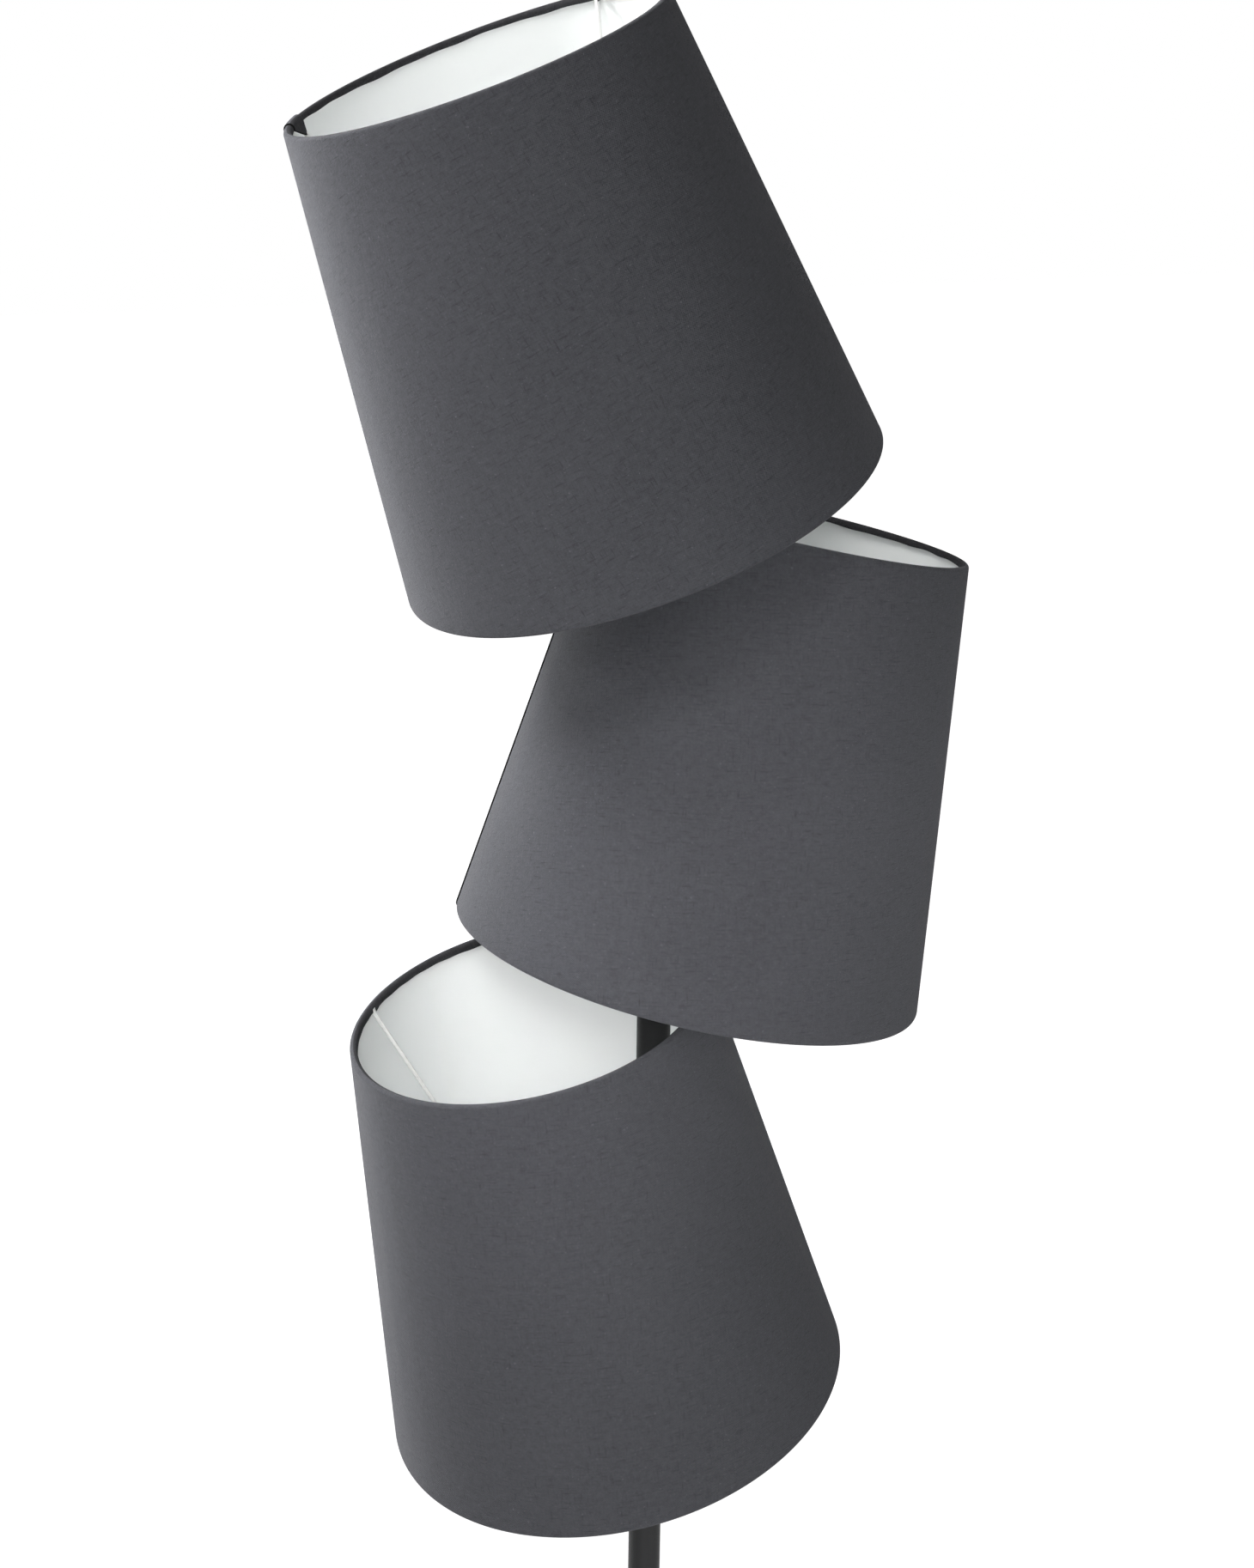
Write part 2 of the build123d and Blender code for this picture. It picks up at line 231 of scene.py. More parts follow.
# Pole collar: a tapered ring round the foot of the pole.
# Turned steel with the same black coat, resting on the cover.
pole_d = 18 * mm
collar_d = 40 * mm
collar_top_d = 24 * mm
collar_height = 14 * mm
collar_round = 0.8 * mm
collar_top = cover_top + collar_height
collar = [(pole_d / 2, cover_top), (collar_d / 2, cover_top), (collar_top_d / 2, collar_top),
          (pole_d / 2, collar_top)]
fitted("tapered_collar", rounded(turned(collar, 96, closed=True), collar_round, 3), powder_black,
       "black_paint", "stand", "pole_collar")

# Pole: four steel tubes screwed end to end, with a small break at each end that shows as a fine line.
# A hole under each bracket lets a lead out. Coated like the base.
pole_bore_d = 15.6 * mm
pole_break = 0.35 * mm
lead_hole_d = 6 * mm
lead_hole_drop = 16 * mm
pole_levels = [cover_top, 430 * mm, 983 * mm, 1228 * mm, 1376 * mm]
bracket_low = -30 * mm
joint_of = {joint["child"].removesuffix("_shade"): joint for joint in frame["joints"]}
seat_of = {name: Vector(joint["pos_m"]) for name, joint in joint_of.items()}
lean_of = {name: math.atan2(joint["axis"][0], joint["axis"][2]) for name, joint in joint_of.items()}
tubes = {"pole_lower": None, "pole_middle": "bottom", "pole_upper": "middle", "pole_end": "top"}
for i, (node, carried) in enumerate(tubes.items()):
    foot, head = pole_levels[i], pole_levels[i + 1]
    section = [(pole_bore_d / 2, foot), (pole_d / 2, foot), (pole_d / 2, head), (pole_bore_d / 2, head)]
    tube = rounded(turned(section, 96, closed=True), pole_break)
    if carried:
        drop = bracket_low * math.cos(lean_of[carried]) - lead_hole_drop
        sideways = Matrix.Rotation(math.radians(math.copysign(90, seat_of[carried].x)), 4, "Y")
        way = Matrix.Translation((0, 0, seat_of[carried].z + drop)) @ sideways
        tube = cut(tube, rod(lead_hole_d / 2, pole_d, way))
    fitted(node + "_tube", tube, powder_black, "black_paint", "stand", node)

# Pole cap: the plug that closes the upper end of the pole.
# Black nylon with a domed edge and a spigot that grips inside the tube.
cap_t = 3 * mm
cap_round = 1.5 * mm
spigot = 8 * mm
spigot_d = 15.5 * mm
spigot_wall = 1.5 * mm
top = pole_levels[-1]
plug = [(0, top + cap_t)] + arc((pole_d / 2 - cap_round, top + cap_t - cap_round), cap_round, 90, 0, 6)
plug += [(pole_d / 2, top), (spigot_d / 2, top), (spigot_d / 2, top - spigot)]
plug += [(spigot_d / 2 - spigot_wall, top - spigot), (spigot_d / 2 - spigot_wall, top), (0, top)]
fitted("pole_plug", turned(plug, 72), nylon_black, "black_plastic", "stand", "pole_cap")

# Brackets: a steel lug brazed to the pole for each lampholder, square to the shade's axis.
# Cut from flat bar with a round end, edges broken, and coated with the pole.
lug_break = 0.5 * mm
for name in seat_of:
    lug = bmesh.new()
    lug.from_mesh(frame["nodes"][name + "_bracket"].data)
    bmesh.ops.remove_doubles(lug, verts=lug.verts, dist=weld_gap)
    bmesh.ops.dissolve_limit(lug, angle_limit=math.radians(1), verts=lug.verts, edges=lug.edges)
    fitted(name + "_lug", rounded(lug, lug_break, 2, 40), powder_black, "black_paint", "stand",
           name + "_bracket")

# Threaded tubes and lock nuts: they clamp each lampholder to its bracket and let the lead through.
# Zinc plated steel with a fine 1 mm thread; the nuts are chamfered hexagons.
nipple_d = 10 * mm
nipple_bore_d = 7 * mm
nipple_low, nipple_high = -34 * mm, -23 * mm
nut_flats = 14 * mm
nut_low, nut_t = -33 * mm, 3 * mm
nut_chamfer, nut_trim, nut_clear = 0.5 * mm, 0.1 * mm, 0.2 * mm
fine_pitch = 1 * mm
place_of = {}
for name, spot in seat_of.items():
    facing = math.pi if spot.x > 0 else 0
    lean = Matrix.Rotation(lean_of[name], 4, "Y")
    place_of[name] = Matrix.Translation(spot) @ lean @ Matrix.Rotation(facing, 4, "Z")


def threaded(bm, core_r, crest_r, pitch, low, high, steps=36):
    """Adds a screw thread: a three-cornered ridge carried round and up the shape."""
    foot, crest, bite = 0.45, 0.1, 0.15
    sunk = core_r - bite * (crest_r - core_r)
    section = [(sunk, -foot), (crest_r, -crest), (crest_r, crest), (sunk, foot)]
    points = [bm.verts.new((radius, 0, low + (rise + 0.5) * pitch)) for radius, rise in section]
    edges = [bm.edges.new(pair) for pair in zip(points, points[1:] + points[:1])]
    turns = (high - low) / pitch - 1
    around = round(turns * steps)
    ends = bmesh.ops.spin(bm, geom=points + edges, cent=(0, 0, 0), axis=(0, 0, 1), steps=around,
                          dvec=(0, 0, pitch / steps), angle=math.tau * around / steps)
    last = [v for v in ends["geom_last"] if isinstance(v, bmesh.types.BMVert)]
    bmesh.ops.contextual_create(bm, geom=points)
    bmesh.ops.contextual_create(bm, geom=last)
    bmesh.ops.recalc_face_normals(bm, faces=bm.faces)
    return bm


def joined(shapes):
    """One shape from several, each with the place that it is set in."""
    bm, mesh = bmesh.new(), bpy.data.meshes.new("blank")
    for shape, place in shapes:
        bmesh.ops.transform(shape, matrix=place, verts=shape.verts)
        shape.to_mesh(mesh)
        shape.free()
        bm.from_mesh(mesh)
    bpy.data.meshes.remove(mesh)
    return bm


def threaded_tube():
    core_r = nipple_d / 2 - 0.5 * fine_pitch
    wall = [(nipple_bore_d / 2, nipple_low), (core_r, nipple_low), (core_r, nipple_high),
            (nipple_bore_d / 2, nipple_high)]
    tube = turned(wall, 48, closed=True)
    return threaded(tube, core_r, nipple_d / 2, fine_pitch, nipple_low, nipple_high)


def lock_nut():
    corner_r = nut_flats / math.sqrt(3)
    hexagon = bmesh.new()
    middle = Matrix.Translation((0, 0, nut_low + nut_t / 2)) @ Matrix.Rotation(math.radians(30), 4, "Z")
    bmesh.ops.create_cone(hexagon, cap_ends=True, segments=6, radius1=corner_r, radius2=corner_r,
                          depth=nut_t, matrix=middle)
    high = nut_low + nut_t
    flat_r, clear_r = nut_flats / 2 - nut_trim, corner_r + nut_clear
    dome = [(0, nut_low), (flat_r, nut_low), (clear_r, nut_low + nut_chamfer)]
    dome += [(clear_r, high - nut_chamfer), (flat_r, high), (0, high)]
    hexagon = cut(hexagon, turned(dome, 96), "INTERSECT")
    return cut(hexagon, rod(nipple_d / 2, 2 * nut_t, Matrix.Translation((0, 0, nut_low - nut_t / 2))))


fitted("threaded_tubes", joined([(threaded_tube(), place) for place in place_of.values()]), zinc, "zinc",
       "stand", "holder_nipples")
fitted("lock_nuts", joined([(lock_nut(), place) for place in place_of.values()]), zinc, "zinc", "stand",
       "holder_nuts")

# Lampholders: a plain cap below, a threaded body with the shoulder that the shade's hub rests on,
# and a ribbed ring that screws down on the hub.
# Moulded in white heat-proof plastic, with brass contacts inside.
thread_d = 27.8 * mm
thread_high = 20 * mm
thread_depth = 0.8 * mm
thread_pitch = 2 * mm
thread_end = 0.6 * mm
body_bore_d = 22 * mm
body_low = -17 * mm
shoulder_d = 36 * mm
shoulder_t = 3 * mm
holder_low = -27 * mm
holder_foot_d = 18 * mm
holder_floor = -23 * mm
holder_round = 0.6 * mm
holder_rim, holder_rim_break = 1.2 * mm, 0.4 * mm
grip_ribs = 40
grip_depth = 0.5 * mm
ring_low, ring_high = 2.2 * mm, 8.2 * mm
ring_d = 35.2 * mm
ring_bore_d = 28 * mm
white_plastic = finish("white_plastic", (0.77, 0.77, 0.745), (0.81, 0.81, 0.79), 70, (0.28, 0.4), 700,
                       0.04 * mm)
brass = finish("brass", (0.62, 0.44, 0.17), (0.78, 0.6, 0.29), 260, (0.2, 0.38), 900, 0.03 * mm,
               {"Metallic": 1.0})


def ribbed(bm, inside_r, ribs, depth):
    """Draws the outer wall in between evenly spaced grip ribs."""
    for v in bm.verts:
        radius = math.hypot(v.co.x, v.co.y)
        if radius > inside_r:
            wave = 0.5 + 0.5 * math.cos(ribs * math.atan2(v.co.y, v.co.x))
            v.co.xy *= 1 - depth * wave / radius
    return bm


def holder_cup():
    foot_r, rim_low = holder_foot_d / 2, body_low - holder_rim
    outline = [(nipple_d / 2, holder_low), (foot_r - holder_round, holder_low)]
    outline += [(foot_r, holder_low + holder_round)]
    outline += [(thread_d / 2 - holder_rim_break, rim_low - holder_rim_break), (thread_d / 2, rim_low)]
    outline += [(thread_d / 2, body_low), (foot_r, body_low), (foot_r, holder_floor)]
    outline += [(nipple_d / 2, holder_floor)]
    return turned(outline, 120, closed=True)


def holder_sleeve():
    core_r = thread_d / 2 - thread_depth
    lip = 0.5 * mm
    outline = [(body_bore_d / 2, body_low), (thread_d / 2 - lip, body_low)]
    outline += [(thread_d / 2, body_low + lip), (thread_d / 2, -shoulder_t - lip)]
    outline += [(thread_d / 2 + lip, -shoulder_t), (shoulder_d / 2 - lip, -shoulder_t)]
    outline += [(shoulder_d / 2, -shoulder_t + lip), (shoulder_d / 2, -lip)]
    outline += [(shoulder_d / 2 - lip, 0), (core_r, 0)]
    outline += [(core_r, thread_high - lip), (core_r - lip, thread_high), (body_bore_d / 2, thread_high)]
    sleeve = turned(outline, 96, closed=True)
    return threaded(sleeve, core_r, thread_d / 2, thread_pitch, thread_end, thread_high - thread_end, 48)


def clamp_ring():
    lip = 0.6 * mm
    bore, outer = ring_bore_d / 2, ring_d / 2
    outline = [(bore, ring_low + lip), (bore + lip, ring_low), (outer - lip, ring_low)]
    outline += [(outer, ring_low + lip), (outer, ring_high - lip), (outer - lip, ring_high)]
    outline += [(bore + lip, ring_high), (bore, ring_high - lip)]
    return ribbed(turned(outline, 8 * grip_ribs, closed=True), outer - lip / 2, grip_ribs, grip_depth)


for name, place in place_of.items():
    fitted(name + "_holder_cup", holder_cup(), white_plastic, "white_plastic", "stand",
           name + "_holder_cap", place=place)
    fitted(name + "_holder_sleeve", holder_sleeve(), white_plastic, "white_plastic", "stand",
           name + "_holder_body", place=place)
    fitted(name + "_clamp_ring", clamp_ring(), white_plastic, "white_plastic", "stand",
           name + "_shade_ring", place=place)
    dressed(name + "_holder_insert", white_plastic)
    dressed(name + "_holder_contacts", brass)

# Bulbs: an opal ball on a small screw cap, one in each lampholder.
# Blown glass, white inside, cemented into a nickelled cap with a rolled thread and a soldered contact.
bulb_cap_d = 13.9 * mm
bulb_thread_depth = 0.7 * mm
bulb_pitch = 2.82 * mm
cap_low, cap_high = -3 * mm, 16 * mm
eyelet_d = 4.8 * mm
eyelet_low = -5 * mm
eyelet_round, eyelet_height = 0.6 * mm, 1.2 * mm
cap_break = 1 * mm
skirt_low, skirt_high = cap_high - 3 * mm, cap_high - 2 * mm
bulb_d = 45 * mm
ball_z = 48 * mm
neck_d = 15.2 * mm
neck_length = 1 * mm
glass_t = 1 * mm
nickel = finish("nickel", (0.6, 0.59, 0.57), (0.74, 0.73, 0.71), 300, (0.14, 0.3), 800, 0.03 * mm,
                {"Metallic": 1.0})
opal = finish("opal_glass", (0.84, 0.84, 0.82), (0.87, 0.87, 0.85), 40, (0.08, 0.16), 500, 0.01 * mm,
              {"Subsurface Weight": 0.25, "Subsurface Radius": (0.004, 0.004, 0.004),
               "Coat Weight": 0.4})


def screw_cap():
    core_r = bulb_cap_d / 2 - bulb_thread_depth
    outline = [(0, eyelet_low), (0.4 * eyelet_d, eyelet_low), (eyelet_d / 2, eyelet_low + eyelet_round)]
    outline += [(eyelet_d / 2, eyelet_low + eyelet_height), (core_r - cap_break, cap_low)]
    outline += [(core_r, cap_low + cap_break), (core_r, skirt_low), (bulb_cap_d / 2, skirt_high)]
    outline += [(bulb_cap_d / 2, cap_high), (0, cap_high)]
    shell = turned(outline, 72)
    return threaded(shell, core_r, bulb_cap_d / 2, bulb_pitch, cap_low + cap_break, skirt_low, 48)


def ball(radius, neck_r):
    """Outline of the bulb from its neck to the crown: a flare that runs smoothly into the ball."""
    return [(neck_r, cap_high), (neck_r, cap_high + neck_length)] + arc((0, ball_z), radius, -45, 90, 32)


def bulb():
    outer = ball(bulb_d / 2, neck_d / 2)
    inner = ball(bulb_d / 2 - glass_t, neck_d / 2 - glass_t)
    return turned(inner[::-1] + outer, 96)


for name, place in place_of.items():
    fitted(name + "_screw_cap", screw_cap(), nickel, "bulb_metal", "stand", name + "_bulb_cap",
           place=place)
    fitted(name + "_bulb", bulb(), opal, "bulb_glass", "stand", name + "_bulb_globe", place=place)

# Shade carriers: a flat steel hub that drops over the lampholder and three straight wire struts,
# which rise to the upper ring and are spot-welded at both ends. Dipped in white enamel.
roll_r = 1.95 * mm
shade_bottom_d = 250 * mm
shade_top_d = 190 * mm
shade_height = 237 * mm
seat_height = 51 * mm
low_rim = Vector((shade_bottom_d / 2 - roll_r, roll_r - seat_height))
high_rim = Vector((shade_top_d / 2 - roll_r, shade_height - roll_r - seat_height))
rim_wire_r = 1.05 * mm
hub_d = 41 * mm
hub_bore_d = 28.6 * mm
hub_low, hub_high = 0.1 * mm, 2.1 * mm
hub_round = 0.4 * mm
strut_r = 1.1 * mm
first_strut = {"top": 26, "middle": 16, "bottom": 16}
enamel = finish("white_enamel", (0.79, 0.79, 0.77), (0.84, 0.84, 0.825), 55, (0.22, 0.36), 420,
                0.06 * mm, {"Coat Weight": 0.2})


def strut():
    """Wire from the hub to the upper ring, with a small bead of weld at each end."""
    foot = Vector(((hub_d - 2 * strut_r) / 2, 0, (hub_low + hub_high) / 2))
    run = Vector((high_rim.x, 0, high_rim.y)) - foot
    length = run.length - rim_wire_r
    bead = 1.25 * strut_r
    outline = [(0, -0.4 * strut_r), (0.8 * bead, -0.2 * strut_r), (bead, 0.8 * strut_r)]
    outline += [(bead, 1.6 * strut_r), (strut_r, 3 * strut_r), (strut_r, length - 2.4 * strut_r)]
    outline += [(1.12 * strut_r, length - 0.8 * strut_r), (1.12 * strut_r, length), (0, length)]
    wire = turned(outline, 20)
    place = Matrix.Translation(foot) @ run.to_track_quat("Z", "Y").to_matrix().to_4x4()
    return wire, place


def carrier(first):
    bore, outer = hub_bore_d / 2, hub_d / 2
    hub = [(bore, hub_low), (outer, hub_low), (outer, hub_high), (bore, hub_high)]
    shapes = [(rounded(turned(hub, 96, closed=True), hub_round), Matrix.Identity(4))]
    for angle in (first, first + 120, first + 240):
        wire, place = strut()
        shapes.append((wire, Matrix.Rotation(math.radians(angle), 4, "Z") @ place))
    return joined(shapes)


def hoop(rim):
    """Wire ring bent round and butt-welded, which the rim of the cloth is rolled over."""
    return turned(arc(rim, rim_wire_r, 0, 345, 23), 240, closed=True)


for name, place in place_of.items():
    shade = name + "_shade"
    fitted(name + "_spider", carrier(first_strut[name]), enamel, "white_paint", shade, name + "_carrier",
           place=place)
    fitted(name + "_upper_hoop", hoop(high_rim), enamel, "white_paint", shade, name + "_upper_ring",
           place=place)
    fitted(name + "_lower_hoop", hoop(low_rim), enamel, "white_paint", shade, name + "_lower_ring",
           place=place)

# Liners: a white plastic sheet rolled to a cone, which stiffens the cloth and reflects the light.
# Its ends lap behind the seam of the cloth, and its tone drifts faintly over the sheet.
liner_in = 1.3 * mm
liner_t = 0.25 * mm
lap_width = 22 * mm
lap_in, lap_bite = 0.2 * mm, 0.05 * mm
seam_at = {"top": 155, "middle": -24.5, "bottom": 28}
wall = (high_rim - low_rim).normalized()
outward = Vector((wall.y, -wall.x))
white_sheet = finish("white_sheet", (0.926, 0.945, 0.937), (0.94, 0.954, 0.949), 9, (0.42, 0.6), 260,
                     0.03 * mm)


def cone_strip(inner, outer, start, sweep, steps):
    """Part of a cone between two distances from the rims' line, closed all round."""
    corners = [low_rim + outward * inner, low_rim + outward * outer]
    corners += [high_rim + outward * outer, high_rim + outward * inner]
    bm = bmesh.new()
    points = [bm.verts.new((c.x, 0, c.y)) for c in corners]
    to_start = Matrix.Rotation(math.radians(start), 3, "Z")
    bmesh.ops.rotate(bm, verts=points, cent=(0, 0, 0), matrix=to_start)
    edges = [bm.edges.new(pair) for pair in zip(points, points[1:] + points[:1])]
    whole = sweep == 360
    ends = bmesh.ops.spin(bm, geom=points + edges, cent=(0, 0, 0), axis=(0, 0, 1), steps=steps,
                          angle=math.radians(sweep), use_merge=whole)
    if not whole:
        last = [v for v in ends["geom_last"] if isinstance(v, bmesh.types.BMVert)]
        bmesh.ops.contextual_create(bm, geom=points)
        bmesh.ops.contextual_create(bm, geom=last)
    bmesh.ops.remove_doubles(bm, verts=bm.verts, dist=weld_gap)
    bmesh.ops.recalc_face_normals(bm, faces=bm.faces)
    return bm


lap_sweep = math.degrees(lap_width / (0.5 * (low_rim.x + high_rim.x)))
for name, place in place_of.items():
    sheet = cone_strip(liner_in, liner_in + liner_t, 0, 360, 256)
    lap = cone_strip(liner_in - lap_in, liner_in + lap_bite, seam_at[name] - lap_sweep, lap_sweep, 12)
    liner = joined([(sheet, Matrix.Identity(4)), (lap, Matrix.Identity(4))])
    fitted(name + "_inner_sheet", liner, white_sheet, "liner", name + "_shade", name + "_liner", place=place)

# Covers: charcoal cotton cut as a sector of a ring, wrapped round the liner and glued with a lap seam.
# Both edges roll over the wire rings and end in a narrow hem inside, coloured darker than the cloth as
# painted shade.
# The upper hem is slit at the struts.
cloth_t = 0.35 * mm
hem_length = {"top": 1.3 * mm, "middle": 1.3 * mm, "bottom": 2.2 * mm}
cloth_r = roll_r - cloth_t / 2
notch = 3 * mm
beside_notch = 6 * mm
loose_corner = {"top": 6 * mm, "middle": 1.5 * mm, "bottom": 1 * mm}
corner_at = 0.25
corner_in, slit_in = 0.2, 0.6
lap_lift = 0.58 * mm
bow_depth = 0.22 * mm
hem_wave = 0.6 * mm
thread = 0.5 * mm
weave_depth = 0.16 * mm
wave_texture_rate = 20
wall_length = (high_rim - low_rim).length
roll_length = math.pi * cloth_r
cone_sine = (low_rim.x - high_rim.x) / wall_length
apex_run = low_rim.x / cone_sine


def cotton(label, dark, pale, bloom):
    """Plain weave, dyed charcoal: crossing threads, thicker ones here and there, and a soft bloom."""
    material = bpy.data.materials.new(label)
    material.use_nodes = True
    nodes, links = material.node_tree.nodes, material.node_tree.links
    skin = nodes["Principled BSDF"]
    skin.inputs["Roughness"].default_value = 0.92
    skin.inputs["Specular IOR Level"].default_value = 0.05
    skin.inputs["Sheen Weight"].default_value = bloom
    skin.inputs["Sheen Roughness"].default_value = 0.42
    skin.inputs["Sheen Tint"].default_value = (0.8, 0.8, 0.84, 1)
    flat = nodes.new("ShaderNodeTexCoord").outputs["UV"]

    def patch(scale_x, scale_y, detail):
        spread = nodes.new("ShaderNodeMapping")
        spread.inputs["Scale"].default_value = (scale_x, scale_y, 1)
        links.new(flat, spread.inputs["Vector"])
        cloud = nodes.new("ShaderNodeTexNoise")
        cloud.inputs["Scale"].default_value = 1
        cloud.inputs["Detail"].default_value = detail
        links.new(spread.outputs["Vector"], cloud.inputs["Vector"])
        return cloud.outputs["Fac"]

    def graded(value, low, high, to_low, to_high):
        grade = nodes.new("ShaderNodeMapRange")
        grade.inputs["From Min"].default_value, grade.inputs["From Max"].default_value = low, high
        grade.inputs["To Min"].default_value, grade.inputs["To Max"].default_value = to_low, to_high
        links.new(value, grade.inputs["Value"])
        return grade.outputs["Result"]

    def combined(operation, a, b):
        sum_of = nodes.new("ShaderNodeMath")
        sum_of.operation = operation
        links.new(a, sum_of.inputs[0])
        if isinstance(b, float):
            sum_of.inputs[1].default_value = b
        else:
            links.new(b, sum_of.inputs[1])
        return sum_of.outputs["Value"]

    ribs = []
    for direction in ("X", "Y"):
        wave = nodes.new("ShaderNodeTexWave")
        wave.bands_direction = direction
        wave.inputs["Scale"].default_value = math.tau / (wave_texture_rate * 2 * thread)
        wave.inputs["Distortion"].default_value = 1.2
        wave.inputs["Detail"].default_value = 1
        wave.inputs["Detail Scale"].default_value = 0.6
        links.new(flat, wave.inputs["Vector"])
        ribs.append(graded(wave.outputs["Fac"], 0, 1, -1, 1))
    weave = combined("MULTIPLY", *ribs)
    weft, warp = patch(110, 1150, 2), patch(1150, 110, 2)
    thick = combined("MAXIMUM", graded(weft, 0.58, 0.7, 0, 1), graded(warp, 0.6, 0.72, 0, 1))
    thin = combined("MAXIMUM", graded(weft, 0.4, 0.28, 0, 1), graded(warp, 0.38, 0.26, 0, 1))
    fuzz = graded(patch(950, 950, 3), 0.3, 0.7, -1, 1)
    mottle = graded(patch(320, 320, 2), 0.3, 0.7, -1, 1)
    cloud = graded(patch(14, 14, 3), 0.3, 0.7, -1, 1)
    fleck = graded(patch(650, 650, 1), 0.71, 0.76, 0, 1)
    tone = combined("MULTIPLY", weave, 0.1)
    shares = ((fuzz, 0.2), (mottle, 0.15), (cloud, 0.06), (thick, -0.42), (thin, 0.25), (fleck, 1.5))
    for part, share in shares:
        tone = combined("ADD", tone, combined("MULTIPLY", part, share))
    shade = nodes.new("ShaderNodeMix")
    shade.data_type = "RGBA"
    shade.clamp_factor = True
    shade.inputs["A"].default_value = (*dark, 1)
    shade.inputs["B"].default_value = (*pale, 1)
    links.new(graded(tone, -1, 1, 0, 1), shade.inputs["Factor"])
    links.new(shade.outputs["Result"], skin.inputs["Base Color"])
    height = combined("MULTIPLY", weave, 0.4)
    for part, share in ((thick, 0.55), (fuzz, 0.35), (mottle, 0.15)):
        height = combined("ADD", height, combined("MULTIPLY", part, share))
    relief = nodes.new("ShaderNodeBump")
    relief.inputs["Distance"].default_value = weave_depth
    links.new(height, relief.inputs["Height"])
    links.new(relief.outputs["Normal"], skin.inputs["Normal"])
    return material


def ripple(seed):
    """Slow unevenness round a rim, between about -1 and 1, the same each time."""
    draw = random.Random(seed)
    waves = [(draw.randint(3, 8), 0.45), (draw.randint(9, 19), 0.3), (draw.randint(23, 47), 0.25)]
    waves = [(count, size, draw.uniform(0, math.tau)) for count, size in waves]
    return lambda angle: sum(size * math.sin(count * angle + start) for count, size, start in waves)


def fold_line(hem, lift):
    """Section of the cloth: hem, roll over the lower ring, wall, roll over the upper ring, hem."""
    radius = cloth_r + lift
    wall_angle = math.degrees(math.atan2(wall.y, wall.x))
    low = [Vector(p) for p in arc(low_rim, radius, wall_angle - 270, wall_angle - 90, 12)]
    high = [Vector(p) for p in arc(high_rim, radius, wall_angle - 90, wall_angle + 90, 12)]
    first = [low[0] + wall * hem * share for share in (1, 0.7, 0.35)]
    last = [high[-1] - wall * hem * share for share in (0.35, 0.7, 1)]
    steps = 24
    return first + low + [low[-1].lerp(high[0], i / steps) for i in range(1, steps)] + high + last


def wrapped(name, start, stops, lift=0.0):
    """Cloth bent round the shade's axis by runs of (degrees, steps), mapped by the shape it was cut to."""
    bm = bmesh.new()
    run_of = bm.verts.layers.float.new("run")
    hem = hem_length[name]
    line = fold_line(hem, lift)
    points = [bm.verts.new((p.x, 0, p.y)) for p in line]
    run = 0.0
    for i, point in enumerate(points):
        run += (line[i] - line[i - 1]).length if i else 0
        point[run_of] = run
    to_start = Matrix.Rotation(math.radians(start), 3, "Z")
    bmesh.ops.rotate(bm, verts=points, cent=(0, 0, 0), matrix=to_start)
    last = points + [bm.edges.new(pair) for pair in zip(points, points[1:])]
    for sweep, steps in stops:
        last = bmesh.ops.spin(bm, geom=last, cent=(0, 0, 0), axis=(0, 0, 1), steps=steps,
                              angle=math.radians(sweep))["geom_last"]
    bmesh.ops.remove_doubles(bm, verts=bm.verts, dist=weld_gap)
    bmesh.ops.recalc_face_normals(bm, faces=bm.faces)
    pattern = bm.loops.layers.uv.new("cut")
    middle = math.radians(seam_at[name] + 180)
    turned_in = hem + roll_length / 2
    for face in bm.faces:
        level = sum(v[run_of] for v in face.verts) / len(face.verts)
        # Hem faces take the third material, the darker cotton that paints the shade on the rolled band.
        if not turned_in < level < run - turned_in:
            face.material_index = 2
        centre = face.calc_center_median()
        turn = (math.atan2(centre.y, centre.x) - middle + math.pi) % math.tau - math.pi
        for loop in face.loops:
            angle = math.atan2(loop.vert.co.y, loop.vert.co.x) - middle
            angle += math.tau * round((turn - angle) / math.tau)
            along = apex_run - (loop.vert[run_of] - roll_length - hem)
            bend = angle * cone_sine
            loop[pattern].uv = (along * math.sin(bend), -along * math.cos(bend))
    bow, low_wave, high_wave = ripple(name + "bow"), ripple(name + "low"), ripple(name + "high")
    for v in bm.verts:
        angle = math.atan2(v.co.y, v.co.x)
        level = v[run_of]
        out = Vector((math.cos(angle), math.sin(angle), 0))
        v.co += out * bow_depth * bow(angle) * math.sin(math.pi * level / run)
        for into_hem, fall, wave in ((hem - level, 1, low_wave), (hem - run + level, -1, high_wave)):
            if into_hem > 0:
                up = out * wall.x + Vector((0, 0, wall.y))
                v.co += up * fall * hem_wave * wave(angle) * into_hem / hem
    return bm


def hem_of(bm, name):
    """Corners of the cloth inside the upper rim, each with its share of the hem and its bearing."""
    run_of = bm.verts.layers.float["run"]
    run = max(v[run_of] for v in bm.verts)
    hem = hem_length[name]
    for v in bm.verts:
        share = (hem - run + v[run_of]) / hem
        if share > 0.01:
            yield v, share, math.degrees(math.atan2(v.co.y, v.co.x))


